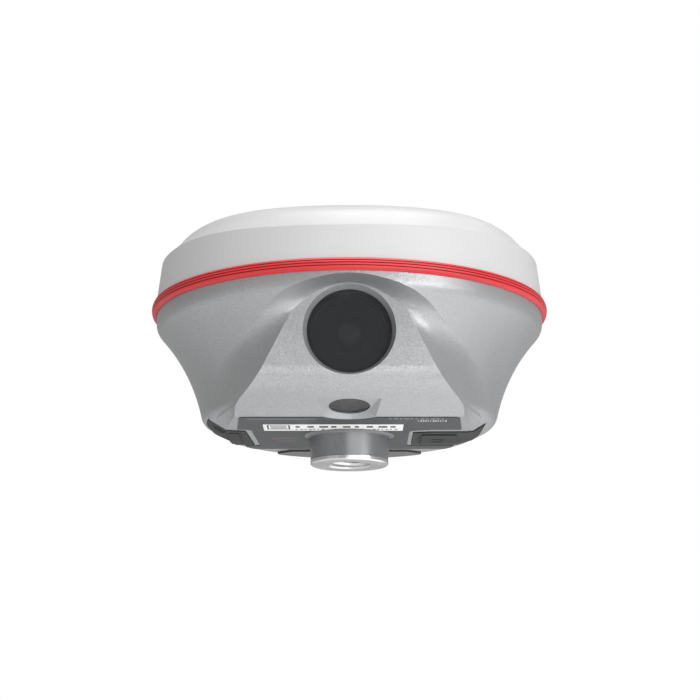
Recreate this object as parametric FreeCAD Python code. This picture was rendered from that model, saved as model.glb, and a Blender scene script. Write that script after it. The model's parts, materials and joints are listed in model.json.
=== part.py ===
import FreeCAD, Part
import math
import os

os.makedirs("parts", exist_ok=True)

V = FreeCAD.Vector
UP = V(0, 0, 1)
BACK = V(0, 1, 0)
ORIGIN = V(0, 0, 0)

# ---------------------------------------------------------------- driving sizes, mm
FIT = 0.05                 # radial clearance of parts that sit in one another
RUN = 0.1                  # clearance of parts that move
WALL = 2.8                 # housing wall
COVER_WALL = 2.4           # radome wall

# pole insert, seen from its lower face upwards
THREAD_R = 15.875 / 2      # 5/8 in thread, major radius
THREAD_DEPTH = 25.0
THREAD_CHAMFER = 0.6
INSERT_R = 14.9
INSERT_RIM_H = 1.7
INSERT_SHANK_R = 12.9
INSERT_TOP = 30.0

# lower housing
UNDERSIDE_Z = 11.5
UNDERSIDE_R = 48.0
FLARE_FOOT_R = 56.7
FLARE_FOOT_Z = 18.0
BODY_R = 74.5
CORNER_Z = 51.5
CORNER_BLEND = 5.0
RIM_Z = 56.5

# bumper ring and radome
RING_R = 76.5
RING_TOP_Z = 60.9
COVER_Z = 61.0
COVER_R = 74.9
CREASE_R = 73.0
CREASE_Z = 76.4
CROWN_Z = 95.5
CROWN_R = 212.0
SEAL_H = 0.6
LIP_R = 73.5
LIP_INNER_R = 70.6

# camera hood
HOOD_Y = -62.0
HOOD_SPLIT_Z = 44.0        # the arch springs from here
HOOD_HALF_W = 21.1         # half width of the panel at the split
HOOD_LEAN = 0.5            # how fast the panel widens downwards
HOOD_TOP_Z = 55.4
HOOD_SPREAD = 27.7         # half angle of the arch on the flare at the split, degrees
CHIN_ANGLE = 18.0
CHIN_BEND = 6.85           # tangent length of the rounding between panel and chin
CHIN_BACK_Y = -40.0

# front camera
WINDOW_Z = 38.6
WINDOW_R = 16.5
WINDOW_DEPTH = 2.7
GLASS_R = 15.05
LENS_R = 4.2

# downward camera
DOWN_Y = -43.6
DOWN_Z = 14.5
DOWN_TILT = 10.0
DOWN_R = 7.45
ALCOVE_HALF_W = 10.9
ALCOVE_BACK_R = 8.0
ALCOVE_LENGTH = 8.8        # from the window centre to the straight front edge

# inside
CELL_R = 9.2
CELL_L = 65.0
CELL_X = 30.0
TRAY_Z = 18.6
BOARD_Z = 58.6
BOARD_T = 1.6
FRAME_Z = 65.1
FRAME_T = 2.0
PLANE_Z = 69.5
PLANE_T = 1.5
FRONT_POST = (29.0, -35.8)
REAR_POST = (23.0, 38.5)
SOUND_Y = 29.8
SPEAKER_Y = 29.0
HEAD_R = 2.5
WELL_R = 2.65
HEAD_Z = 12.7              # underside of the housing screw heads, above the label and rear panel
STANDOFF_R = 47.0
BOSS_R = 60.0              # circle of the six radome bosses


# ---------------------------------------------------------------- helpers
def box(x0, x1, y0, y1, z0, z1):
    return Part.makeBox(x1 - x0, y1 - y0, z1 - z0, V(x0, y0, z0))


def rod(radius, length, at, along=UP):
    return Part.makeCylinder(radius, length, at, along)


def tube(outer, inner, length, at, along=UP):
    return rod(outer, length, at, along).cut(rod(inner, length, at, along))


def polygon(points):
    return Part.Face(Part.makePolygon(points + [points[0]]))


def prism_z(outline, z0, z1):
    return polygon([V(x, y, z0) for x, y in outline]).extrude(V(0, 0, z1 - z0))


def prism_x(outline, half_width):
    face = polygon([V(-half_width, y, z) for y, z in outline])
    return face.extrude(V(2 * half_width, 0, 0))


def prism_y(outline, y0, y1):
    return polygon([V(x, y0, z) for x, z in outline]).extrude(V(0, y1 - y0, 0))


def turned(outline):
    return polygon([V(r, 0, z) for r, z in outline]).revolve(ORIGIN, UP, 360)


def joined(shapes):
    result = shapes[0]
    for shape in shapes[1:]:
        result = result.fuse(shape)
    return result.removeSplitter()


def ring_of(make, count, first_angle=0.0):
    """Copies of a shape made at azimuths spaced evenly round the pole axis."""
    return [make(math.radians(first_angle + 360.0 * i / count)) for i in range(count)]


def polar(radius, angle, z):
    return V(radius * math.sin(angle), radius * math.cos(angle), z)


def rounded(shape, radius, pick):
    edges = [e for e in shape.Edges if pick(e)]
    return shape.makeFillet(radius, edges) if edges else shape


def save(name, shape):
    if isinstance(shape, list):
        shape = Part.makeCompound(shape)
    shape.exportStep("parts/%s.step" % name)


# ---------------------------------------------------------------- the flared body of revolution
def body_solid(grow):
    """The flared bowl, with every face moved outwards by grow."""
    chine = V(53.6 + 0.33 * grow, 0, 14.2 - 0.95 * grow)
    heel = V(55.7 + 0.77 * grow, 0, 15.9 - 0.64 * grow)
    foot = V(FLARE_FOOT_R + 0.98 * grow, 0, FLARE_FOOT_Z - 0.2 * grow)
    waist = V(63.3 + 0.88 * grow, 0, 35.9 - 0.47 * grow)
    corner = V(BODY_R + grow, 0, CORNER_Z - 0.4 * grow)
    middle = V(0, 0, UNDERSIDE_Z - grow)
    flat = V(UNDERSIDE_R + 0.23 * grow, 0, UNDERSIDE_Z - grow)
    top_out = V(BODY_R + grow, 0, RIM_Z)
    top_mid = V(0, 0, RIM_Z)
    edges = [
        Part.makeLine(middle, flat),
        Part.makeLine(flat, chine),
        Part.Arc(chine, heel, foot).toShape(),
        Part.Arc(foot, waist, corner).toShape(),
        Part.makeLine(corner, top_out),
        Part.makeLine(top_out, top_mid),
        Part.makeLine(top_mid, middle),
    ]
    return Part.Face(Part.Wire(edges)).revolve(ORIGIN, UP, 360)


def flare_radius(z):
    """Radius of the bowl at height z, from the arcs of its side."""
    if z >= CORNER_Z:
        return BODY_R
    if z <= 14.2:
        return UNDERSIDE_R + (z - UNDERSIDE_Z) * (53.6 - UNDERSIDE_R) / (14.2 - UNDERSIDE_Z)
    low = z < FLARE_FOOT_Z
    if low:
        arc = Part.Arc(V(53.6, 0, 14.2), V(55.7, 0, 15.9), V(FLARE_FOOT_R, 0, FLARE_FOOT_Z))
    else:
        foot = V(FLARE_FOOT_R, 0, FLARE_FOOT_Z)
        arc = Part.Arc(foot, V(63.3, 0, 35.9), V(BODY_R, 0, CORNER_Z))
    circle = arc.toShape().Curve
    reach = math.sqrt(circle.Radius ** 2 - (z - circle.Center.z) ** 2)
    return circle.Center.x + reach if low else circle.Center.x - reach


# ---------------------------------------------------------------- camera hood
def panel_half_width(z):
    return HOOD_HALF_W + HOOD_LEAN * (HOOD_SPLIT_Z - z)


def arch_angle(z):
    """Where the bevel meets the flare: tangent to it low down, then closing in towards the arch."""
    half = panel_half_width(z)
    reach = math.hypot(half, HOOD_Y)
    radius = flare_radius(z) - 0.1
    tangent = math.atan2(half, -HOOD_Y) + math.acos(min(1.0, radius / reach))
    closing = math.radians(HOOD_SPREAD + 1.5 * (HOOD_SPLIT_Z - z))
    return max(tangent, closing) if z > 36 else tangent


def hood_heights():
    return [14.2 + (HOOD_SPLIT_Z - 14.2) * i / 16 for i in range(17)]


def hood_section(z, ahead):
    """Panel edge and flare edge, closed straight across behind, or well ahead of the hood."""
    radius = flare_radius(z) - (0.0 if ahead else 0.02)
    angle = arch_angle(z)
    x, y = radius * math.sin(angle), -radius * math.cos(angle)
    half = x if ahead else panel_half_width(z)
    front = -95.0 if ahead else HOOD_Y
    points = [V(-x, y, z), V(-half, front, z), V(half, front, z), V(x, y, z)]
    return Part.makePolygon(points + [points[0]])


def hood_fill():
    upper = Part.makeLoft([hood_section(z, False) for z in hood_heights()], True, False)
    lower = Part.makeLoft([hood_section(z, False) for z in (UNDERSIDE_Z, 14.2)], True, True)
    return upper.fuse(lower)


def hood_clearing():
    """The part of the flare in front of the hood's back line, below the arch."""
    start = 34.0
    heights = [start + (HOOD_SPLIT_Z - start) * i / 12 for i in range(13)]
    return Part.makeLoft([hood_section(z, True) for z in heights], True, True)


def hood_sink():
    """What the arched recess takes out of the flare, above the split."""
    steps = 24
    inner = []
    outer = []
    for i in range(steps + 1):
        spread = math.sin((-1.0 + 2.0 * i / steps) * math.pi / 2)
        height = (1.0 - spread ** 2) ** (1 / 1.1)
        z = HOOD_SPLIT_Z + (HOOD_TOP_Z - HOOD_SPLIT_Z) * height
        on_panel = V(HOOD_HALF_W * spread, HOOD_Y, z)
        narrowing = abs(spread) ** 0.12 if spread else 0.0
        angle = math.radians(HOOD_SPREAD) * spread * narrowing
        radius = flare_radius(z)
        on_flare = V(radius * math.sin(angle), -radius * math.cos(angle), z + 0.3 * height)
        inner.append(on_panel)
        outer.append(on_panel + (on_flare - on_panel) * 1.4)
    clear = [V(p.x, -95.0, p.z) for p in outer]
    marks = [float(i) for i in range(steps + 1)]

    def curve(points):
        spline = Part.BSplineCurve()
        spline.interpolate(Points=points, Parameters=marks)
        return spline.toShape()

    a, b, c = curve(inner), curve(outer), curve(clear)
    panel = Part.Face(Part.Wire([a, Part.makeLine(inner[-1], inner[0])]))
    front = Part.Face(Part.Wire([c, Part.makeLine(clear[-1], clear[0])]))
    under = polygon([inner[0], inner[-1], outer[-1], clear[-1], clear[0], outer[0]])
    faces = [panel, Part.makeRuledSurface(a, b), Part.makeRuledSurface(b, c), front, under]
    shell = Part.makeShell(faces)
    shell.sewShape()
    solid = Part.makeSolid(Part.Shell(shell.Faces))
    if solid.Volume < 0:
        solid.reverse()
    return solid


def chin_cut(inset=0.0):
    """Everything in front of and below the rounded chin of the hood."""
    slope = math.tan(math.radians(CHIN_ANGLE))
    front = HOOD_Y + inset
    low = UNDERSIDE_Z + inset
    corner_z = low + (CHIN_BACK_Y - HOOD_Y) * slope
    bend = CHIN_BEND
    start = V(-90, front, corner_z + bend)
    end_y = front + bend * math.cos(math.radians(CHIN_ANGLE))
    end_z = corner_z - bend * math.sin(math.radians(CHIN_ANGLE))
    end = V(-90, end_y, end_z)
    half_turn = math.radians(90 - CHIN_ANGLE) / 2
    sag = bend / math.tan(half_turn) * (1 / math.cos(half_turn) - 1)
    mid = V(-90, front + sag * math.cos(half_turn), corner_z + sag * math.sin(half_turn))
    tail_y = CHIN_BACK_Y + 4.0
    tail = V(-90, tail_y, end_z - (tail_y - end_y) * slope)
    bottom = V(-90, tail_y, -5)
    far_low = V(-90, -100, -5)
    far_high = V(-90, -100, corner_z + bend)
    edges = [
        Part.Arc(start, mid, end).toShape(),
        Part.makeLine(end, tail),
        Part.makeLine(tail, bottom),
        Part.makeLine(bottom, far_low),
        Part.makeLine(far_low, far_high),
        Part.makeLine(far_high, start),
    ]
    return Part.Face(Part.Wire(edges)).extrude(V(180, 0, 0))


# ---------------------------------------------------------------- downward camera axes
def down_placed(shape):
    """Local z runs up into the housing, square to the alcove floor, from the window centre."""
    turn = FreeCAD.Rotation(V(1, 0, 0), -DOWN_TILT)
    shape.Placement = FreeCAD.Placement(V(0, DOWN_Y, DOWN_Z), turn)
    return shape


def alcove(margin, lift):
    """The alcove: straight front edge, round back, walls that open out at 45 degrees."""
    drop = 10.0
    back = ALCOVE_BACK_R + margin
    half = ALCOVE_HALF_W + margin
    front = -ALCOVE_LENGTH - margin
    lean = math.radians(15.8)          # direction of the side walls where they leave the round back
    side = (back * math.cos(lean), back * math.sin(lean))
    side_low = ((back + drop) * math.cos(lean), (back + drop) * math.sin(lean))
    half_low = side_low[0] + (side_low[1] - front) * math.tan(lean)
    upper = [(-half, front), (half, front), side, (-side[0], side[1])]
    lower = [(-half_low, front), (half_low, front), side_low, (-side_low[0], side_low[1])]
    wires = []
    for outline, z in ((upper, lift), (lower, lift - drop)):
        points = [V(x, y, z) for x, y in outline]
        wires.append(Part.makePolygon(points + [points[0]]))
    wedge = Part.makeLoft(wires, True, True)
    cone = Part.makeCone(back, back + drop, drop, V(0, 0, lift), V(0, 0, -1))
    cone = cone.common(box(-40, 40, front, 40, -40, 40))
    return down_placed(wedge.fuse(cone))


# ---------------------------------------------------------------- port covers and rear panel
LEFT_HINGE_X = -41.3
LEFT_COVER = [(-39.3, -11), (-45, -12), (-53.5, -16), (-62, -17), (-62, 9), (-45, 18.5), (-37.4, 18.5)]
RIGHT_HINGE_X = 26.55
RIGHT_COVER = [(24.3, -7.8), (30, -9.3), (44.5, -9.7), (51.3, -13.5), (49.6, 4), (42.5, 17.5), (24.3, 17.5)]
LEFT_FRAME = [(-36.9, -13), (-39, -14.6), (-70, -14.6), (-70, 20.8), (-35.2, 20.8)]
RIGHT_FRAME = [(22.6, 20.3), (22.7, -10.5), (25, -12.6), (32, -14.3), (70, -14.6), (70, 20.3)]
LABEL_SIDE = [(40, -38.5), (42, -15), (42, 15), (40, 28)]
COVER_TOP_Z = 15.5
COVER_PROUD = 0.4
COVER_SINK = 1.6
COVER_GAP = 0.2            # the flaps are this much smaller than their outline, to swing free
PANEL_PROUD = 0.8
PANEL_SINK = 1.0
PANEL_BACK = [(-26, 5), (26, 5), (28.5, 20), (21, 32), (-21, 32), (-28.5, 20)]
PANEL_SIDE = [(23, 31.6), (29, 36.4), (26.4, 47), (24, 62)]
PANEL_UNDER = [(-x, y) for x, y in PANEL_SIDE] + PANEL_SIDE[::-1]
KEY_Z = 21.5
KEY_R = 4.5
KEY_TRAVEL = 0.6
LIGHT_Z = 27.8
LIGHT_R = 1.2
LIGHT_XS = [-10.5, -3.5, 3.5, 10.5]


def widened(outline, margin):
    """The outline with each corner moved away from its middle."""
    face = polygon([V(x, y, 0) for x, y in outline])
    wire = face.OuterWire.makeOffset2D(margin, 2)
    return [(v.X, v.Y) for v in wire.OrderedVertexes]


def cover_band(outline, out, sink, top):
    band = body_solid(out).cut(body_solid(-sink))
    return band.common(prism_z(outline, 5, top))


def panel_band(out, sink, margin):
    """The rear panel's skin: up the back of the flare, and under the edge with two points."""
    back = prism_y(widened(PANEL_BACK, margin) if margin else PANEL_BACK, 44, 80)
    under = prism_z(widened(PANEL_UNDER, margin) if margin else PANEL_UNDER, 5, 14)
    band = body_solid(out).cut(body_solid(-sink))
    return band.common(back.fuse(under))


# ---------------------------------------------------------------- lower housing
def sound_holes():
    """A row of small holes in the strip between the label and the rear panel."""
    return [rod(0.6, 12, V(x, SOUND_Y, 5)) for x in (-6, -3, 0, 3, 6)]


def post_spots():
    return [(side * x, y) for x, y in (FRONT_POST, REAR_POST) for side in (-1, 1)]


def lower_housing():
    body = body_solid(0)
    body = rounded(body, CORNER_BLEND, lambda e: e.isClosed() and abs(e.BoundBox.ZMin - CORNER_Z) < 0.2)
    cleared = body.cut(hood_clearing())
    if body.Volume - cleared.Volume < 1000:
        raise RuntimeError("the hood clearing removed nothing")
    body = cleared.fuse(hood_fill())
    body = body.cut(box(-45, 45, -95, HOOD_Y, 20, HOOD_SPLIT_Z))
    body = body.cut(hood_sink()).cut(chin_cut())

    hollow = body_solid(-WALL)
    hollow = hollow.fuse(rod(BODY_R - 4.4, 20, V(0, 0, CORNER_Z)))
    hollow = hollow.cut(box(-90, 90, -100, HOOD_Y + WALL, 0, 90)).cut(chin_cut(WALL))
    hollow = hollow.cut(alcove(2.4, 4.0)).cut(rod(17.5, 34 - 5, V(0, 0, 5)))
    collar = rod(WINDOW_R + 3, 8.5, V(0, HOOD_Y, WINDOW_Z), BACK)
    hollow = hollow.cut(collar)
    for x, y in post_spots():
        hollow = hollow.cut(rod(3.2, 60, V(x, y, 5)))
    body = body.cut(hollow)

    # pole insert socket
    body = body.cut(rod(INSERT_SHANK_R + FIT, INSERT_TOP + 1 - 5, V(0, 0, 5)))

    # front window pocket and its sight hole
    centre = V(0, HOOD_Y, WINDOW_Z)
    body = body.cut(Part.makeCone(WINDOW_R, GLASS_R + 0.1, WINDOW_DEPTH, centre, BACK))
    body = body.cut(rod(GLASS_R + 0.1, 6, centre, BACK)).cut(rod(13.4, 12, centre, BACK))

    # downward camera alcove
    body = body.cut(alcove(0, 0))
    body = body.cut(down_placed(rod(DOWN_R + FIT, 1.7, V(0, 0, 0))))
    body = body.cut(down_placed(rod(5.6, 8, V(0, 0, 0))))

    # port covers: a pocket each, and the openings behind them
    for outline in (LEFT_COVER, RIGHT_COVER):
        pocket = cover_band(widened(outline, 0.15), 3, COVER_SINK, COVER_TOP_Z + 0.2)
        body = body.cut(pocket)
    body = body.cut(box(-46, -42, -2.8, 6.8, 5, 20))
    body = body.cut(box(27.5, 39.5, -6.2, -3.8, 5, 20))

    # rear panel, key and lights
    body = body.cut(panel_band(3, PANEL_SINK, FIT))
    body = body.cut(rod(KEY_R + 1.1, 20, V(0, 54.8, KEY_Z), BACK))
    body = body.cut(rod(2.0, 10, V(0, 50, KEY_Z), BACK))
    for x in LIGHT_XS:
        body = body.cut(rod(LIGHT_R + FIT, 15, V(x, 50, LIGHT_Z), BACK))

    for hole in sound_holes():
        body = body.cut(hole)

    # screw wells and posts
    for x, y in post_spots():
        body = body.fuse(tube(3.2, 1.7, BOARD_Z - RIM_Z + 0.6, V(x, y, RIM_Z - 0.6)))
        body = body.cut(rod(1.7, 60, V(x, y, 5))).cut(rod(WELL_R, HEAD_Z + 2.0 - 5, V(x, y, 5)))
    return body


# ---------------------------------------------------------------- radome
def dome_height(r):
    """Height of the radome above the crease, along its sides."""
    edge = 66.3
    if r >= edge:
        u = (CREASE_R - r) / (CREASE_R - edge)
        return CREASE_Z + 7.0 * u - 2.0 * u * (1 - u)
    drop = 1.76 * (max(0.0, r - 50.0) / (edge - 50.0)) ** 6
    return CROWN_Z - r * r / (2 * CROWN_R) - drop


def droop(angle, r):
    """The crease dips at the front and back, and the dome dips with it, less towards the crown."""
    reach = max(0.0, abs(CREASE_R * math.cos(angle)) - 43.0)
    return reach ** 2 / 290.0 * (max(0.0, r - 20.0) / (CREASE_R - 20.0)) ** 1.2


def dome_point(r, angle):
    z = dome_height(r) - droop(angle, r)
    if r >= CREASE_R:
        r = COVER_R - (z - COVER_Z) * (COVER_R - CREASE_R) / (CREASE_Z - COVER_Z)
    return polar(r, angle, z)


def dome_ring(r):
    count = 48
    points = [dome_point(r, 2 * math.pi * i / count) for i in range(count)]
    spline = Part.BSplineCurve()
    spline.interpolate(Points=points, PeriodicFlag=True)
    return spline.toShape()


def dome_shell():
    """Wall, moulded top and a small flat at the crown, closed underneath by a disc."""
    rings = [dome_ring(CREASE_R - 2.0 * i) for i in range(36)]
    foot = Part.makeCircle(COVER_R, V(0, 0, COVER_Z))
    foot.rotate(ORIGIN, UP, 90)
    wall = Part.makeRuledSurface(foot, rings[0])
    dome = Part.makeLoft([Part.Wire(ring) for ring in rings], False, False)
    caps = [Part.Face(Part.Wire(rings[-1])), Part.Face(Part.Wire(foot))]
    shell = Part.makeShell(dome.Faces + wall.Faces + caps)
    shell.sewShape()
    return Part.Shell(shell.Faces)


def top_cover():
    solid = Part.makeSolid(dome_shell())
    if solid.Volume < 0:
        solid.reverse()

    lip = tube(LIP_R, LIP_INNER_R, COVER_Z - RIM_Z - SEAL_H, V(0, 0, RIM_Z + SEAL_H))
    inner = [(0, 60), (LIP_INNER_R, 60), (LIP_INNER_R, COVER_Z), (COVER_R - COVER_WALL, COVER_Z)]
    inner += [(COVER_R - COVER_WALL - 1.4, 71.5), (69, 75)]
    inner += [(r, dome_height(r) - droop(0, r) - COVER_WALL) for r in (64, 58, 50, 38, 24)]
    inner += [(0, CROWN_Z - COVER_WALL)]
    hollow = turned(inner)
    for boss in ring_of(lambda a: rod(3.0, 30, polar(BOSS_R, a, FRAME_Z + FRAME_T + FIT)), 6, 30):
        hollow = hollow.cut(boss)
    solid = solid.cut(hollow).fuse(lip)
    for hole in ring_of(lambda a: rod(1.25, 9, polar(BOSS_R, a, FRAME_Z + FRAME_T - 1)), 6, 30):
        solid = solid.cut(hole)
    return solid


# ---------------------------------------------------------------- bumper ring and seal
def bumper_ring():
    """Four bands with a fine groove between each, over a narrow lower facet."""
    bands = 4
    facet = 0.5
    pitch = (RING_TOP_Z - RIM_Z - facet) / bands
    groove = 0.16
    mid = (RIM_Z + RING_TOP_Z) / 2
    half = (RING_TOP_Z - RIM_Z) / 2

    def bulge(z):
        return RING_R - 0.7 * ((z - mid) / half) ** 2

    outline = [(LIP_R + FIT, RIM_Z), (BODY_R + 0.3, RIM_Z)]
    for i in range(bands):
        low = RIM_Z + facet + i * pitch
        high = low + pitch
        if i:
            outline.append((bulge(low) - 0.4, low))
        outline += [(bulge(z), z) for z in (low + groove, (low + high) / 2, high - groove)]
    outline += [(bulge(RING_TOP_Z) - 0.1, RING_TOP_Z), (LIP_R + FIT, RING_TOP_Z)]
    return turned(outline)


# ---------------------------------------------------------------- pole mount
def mount_boss():
    """Tapered collar round the insert, with a small fillet at its root."""
    inner = INSERT_SHANK_R + FIT
    low = INSERT_RIM_H
    top = UNDERSIDE_Z
    edges = [
        Part.makeLine(V(inner, 0, low), V(14.6, 0, low)),
        Part.makeLine(V(14.6, 0, low), V(14.8, 0, low + 0.3)),
        Part.makeLine(V(14.8, 0, low + 0.3), V(15.5, 0, top - 1.8)),
        Part.Arc(V(15.5, 0, top - 1.8), V(15.95, 0, top - 0.65), V(17.2, 0, top - 0.2)).toShape(),
        Part.makeLine(V(17.2, 0, top - 0.2), V(17.2, 0, top)),
        Part.makeLine(V(17.2, 0, top), V(inner, 0, top)),
        Part.makeLine(V(inner, 0, top), V(inner, 0, low)),
    ]
    return Part.Face(Part.Wire(edges)).revolve(ORIGIN, UP, 360)


def thread_insert():
    chamfer = 0.5
    mouth = THREAD_R + THREAD_CHAMFER
    outline = [
        (mouth, 0), (INSERT_R - chamfer, 0), (INSERT_R, chamfer), (INSERT_R, INSERT_RIM_H),
        (INSERT_SHANK_R, INSERT_RIM_H), (INSERT_SHANK_R, INSERT_TOP), (0, INSERT_TOP),
        (0, THREAD_DEPTH), (THREAD_R, THREAD_DEPTH), (THREAD_R, THREAD_CHAMFER),
    ]
    return turned(outline)


# ---------------------------------------------------------------- underside plates
def label_plate():
    """Thin plate round the collar, cut clear of the alcove and the framed port covers."""
    outline = [(-x, y) for x, y in LABEL_SIDE] + LABEL_SIDE[::-1]
    plate = prism_z(outline, UNDERSIDE_Z - 0.3, UNDERSIDE_Z)
    plate = rounded(plate, 2.5, lambda e: abs(e.Length - 0.3) < 0.01 and abs(e.CenterOfMass.x) < 41)
    hood = [(-36, HOOD_Y), (36, HOOD_Y), (46, -14), (-46, -14)]
    level = prism_z(widened(hood, -0.3), 5, 20).fuse(rod(UNDERSIDE_R - 0.8, 15, V(0, 0, 5)))
    plate = plate.common(level)
    plate = plate.cut(rod(17.3, 10, V(0, 0, 5)))
    for outline in (LEFT_FRAME, RIGHT_FRAME):
        plate = plate.cut(prism_z(outline, 5, 20))
    return plate.cut(alcove(0.8, 0))


def rating_sticker():
    """White film across the label, notched by the collar."""
    low = UNDERSIDE_Z - 0.4
    return box(-32, 20, -25.6, -13.1, low, low + 0.1).cut(rod(17.6, 5, V(0, 0, low - 2)))


# ---------------------------------------------------------------- front camera
def front_at(shape):
    """Local z runs back along the camera axis from the face of the hood."""
    shape.Placement = FreeCAD.Placement(V(0, HOOD_Y, WINDOW_Z), FreeCAD.Rotation(V(1, 0, 0), -90))
    return shape


def front_window():
    return rod(GLASS_R, 2.0, V(0, 0, WINDOW_DEPTH))


def front_gasket():
    """Foam ring that also masks the edge of the glass."""
    return tube(GLASS_R, 13.5, 1.2, V(0, 0, WINDOW_DEPTH + 2.0))


def front_barrel():
    """Stepped barrel with a dished front round the lens."""
    outline = [
        (LENS_R + FIT, 6.4), (LENS_R + 0.8, 6.4), (6.5, 7.4), (6.5, 16.5), (0, 16.5),
        (0, 9.0), (LENS_R + FIT, 9.0),
    ]
    return turned(outline)


def front_lens():
    """Plano-convex lens, its crown 1 mm high."""
    crown = 1.0
    ball_r = (LENS_R ** 2 + crown ** 2) / (2 * crown)
    ball = Part.makeSphere(ball_r, V(0, 0, 6.6 + ball_r))
    return rod(LENS_R, 2.4, V(0, 0, 6.6)).common(ball)


def front_holder():
    """Dark plate behind the sight hole that carries the barrel in a short tube."""
    plate = rod(17.9, 1.8, V(0, 0, 8.5)).fuse(rod(8.5, 6.2, V(0, 0, 8.5)))
    plate = plate.cut(rod(6.5 + FIT, 12, V(0, 0, 6)))
    for angle in (45, 135, 225, 315):
        spot = V(16.4 * math.cos(math.radians(angle)), 16.4 * math.sin(math.radians(angle)), 5)
        plate = plate.cut(rod(0.85, 8, spot))
    return plate


def front_screws():
    screws = []
    for angle in (45, 135, 225, 315):
        spot = V(16.4 * math.cos(math.radians(angle)), 16.4 * math.sin(math.radians(angle)), 10.3)
        screws.append(rod(1.5, 1.0, spot))
    return screws


def front_board():
    board = box(-11, 11, -11, 11, 16.5, 17.7)
    chips = [box(-8, -3, -8, -3, 17.7, 18.6), box(2, 8, 3, 8, 17.7, 18.5)]
    return joined([board] + chips)


# ---------------------------------------------------------------- downward camera
def down_window():
    return rod(DOWN_R, 1.0, V(0, 0, 0.3))


def down_gasket():
    return tube(DOWN_R, 5.7, 0.35, V(0, 0, 1.3))


def down_barrel():
    outline = [(4.05, 2.0), (5.4, 2.0), (5.4, 9.5), (0, 9.5), (0, 4.0), (4.05, 4.0)]
    return turned(outline)


def down_lens():
    return rod(4.0, 1.6, V(0, 0, 2.4))


def down_board():
    return box(-8, 8, -7, 7, 9.5, 10.7).fuse(box(-3, 3, -3, 3, 10.7, 11.6))


# ---------------------------------------------------------------- port covers
def cover_flap(outline, hinge_x, outward):
    """Rubber flap, from its hinge line outwards."""
    band = cover_band(widened(outline, -COVER_GAP), COVER_PROUD, COVER_SINK - 0.15, COVER_TOP_Z)
    side = sorted((hinge_x, hinge_x + outward * 40))
    return band.common(box(side[0], side[1], -60, 60, 0, 40))


def cover_anchor(outline, hinge_x, outward):
    """Fixed strip of the same rubber, held in the pocket inboard of the hinge line."""
    band = cover_band(outline, COVER_PROUD, COVER_SINK, COVER_TOP_Z)
    side = sorted((hinge_x - outward * RUN, hinge_x - outward * 10))
    return band.common(box(side[0], side[1], -60, 60, 0, 40))


def left_flap():
    """The left flap stands a little proud below and is sunk where it turns up the side."""
    flap = cover_flap(LEFT_COVER, LEFT_HINGE_X, -1)
    proud = flap.cut(body_solid(-0.5)).common(box(-70, -46.5, -60, 60, 0, 40))
    pad = box(-46, -42, -8, 14, UNDERSIDE_Z - COVER_PROUD - 0.3, UNDERSIDE_Z)
    return flap.cut(proud).fuse(pad).removeSplitter()


def right_flap():
    flap = cover_flap(RIGHT_COVER, RIGHT_HINGE_X, 1)
    pad = box(27.6, 41, -5, 15.8, UNDERSIDE_Z - COVER_PROUD - 0.5, UNDERSIDE_Z)
    pad = rounded(pad, 1.2, lambda e: abs(e.Length - COVER_PROUD - 0.5) < 0.01)
    return flap.fuse(pad).removeSplitter()


def usb_connector():
    """Upright receptacle behind the left cover: shell, tongue and flange."""
    x, y, z = -44.0, 2.0, UNDERSIDE_Z + COVER_SINK
    shell = box(x - 1.9, x + 1.9, y - 4.7, y + 4.7, z, z + 7)
    shell = rounded(shell, 1.5, lambda e: e.Length > 6.9 and abs(e.Length - 7) < 0.01)
    inner = box(x - 1.5, x + 1.5, y - 4.3, y + 4.3, z - 1, z + 6)
    tongue = box(x - 0.35, x + 0.35, y - 3.3, y + 3.3, z + 0.8, z + 7)
    return joined([shell.cut(inner), tongue])


def card_slot():
    """Shallow card reader behind the right cover."""
    z = UNDERSIDE_Z + WALL + 0.1
    block = box(26, 41, -13, 3, z, z + 4)
    return block.cut(box(27.5, 39.5, -5.6, -4.4, z - 1, z + 3))


# ---------------------------------------------------------------- rear panel
def rear_panel():
    panel = panel_band(PANEL_PROUD, PANEL_SINK - FIT, 0)
    raised = body_solid(PANEL_PROUD + 0.3).cut(body_solid(PANEL_PROUD - 0.4))
    outline = [(-19, 12), (19, 12), (19, 30.5), (-19, 30.5)]
    panel = panel.fuse(raised.common(prism_y(outline, 45, 80)))
    panel = panel.cut(rod(KEY_R + RUN, 30, V(0, 50, KEY_Z), BACK))
    panel = panel.cut(rod(KEY_R + 1.1, 6.15, V(0, 50, KEY_Z), BACK))
    for x in LIGHT_XS:
        panel = panel.cut(rod(LIGHT_R + FIT, 30, V(x, 50, LIGHT_Z), BACK))
    return panel


def power_button():
    """Round key: cap, retaining flange and stem, with a dished face."""
    face = flare_radius(KEY_Z) + PANEL_PROUD + 1.0
    cap = rod(KEY_R, face - 55.6, V(0, 55.6, KEY_Z), BACK)
    flange = rod(KEY_R + 0.8, 0.4, V(0, 55.6, KEY_Z), BACK)
    stem = rod(1.5, 55.6 - 52.9, V(0, 52.9, KEY_Z), BACK)
    button = joined([cap, flange, stem])
    dish = Part.makeSphere(20, V(0, face + 19.5, KEY_Z))
    return button.cut(dish)


def light_pipes():
    skin = body_solid(PANEL_PROUD + 0.35)
    return [rod(LIGHT_R, 20, V(x, 51.2, LIGHT_Z), BACK).common(skin) for x in LIGHT_XS]


def key_board():
    board = box(-15, 15, 49.0, 50.2, 17.5, 32)
    lamps = [box(x - 0.8, x + 0.8, 50.2, 50.9, LIGHT_Z - 0.8, LIGHT_Z + 0.8) for x in LIGHT_XS]
    return joined([board] + lamps)


def key_switch():
    body = box(-3, 3, 50.2, 51.6, KEY_Z - 3, KEY_Z + 3)
    return body.fuse(rod(1.6, 0.4, V(0, 51.6, KEY_Z), BACK))


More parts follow.
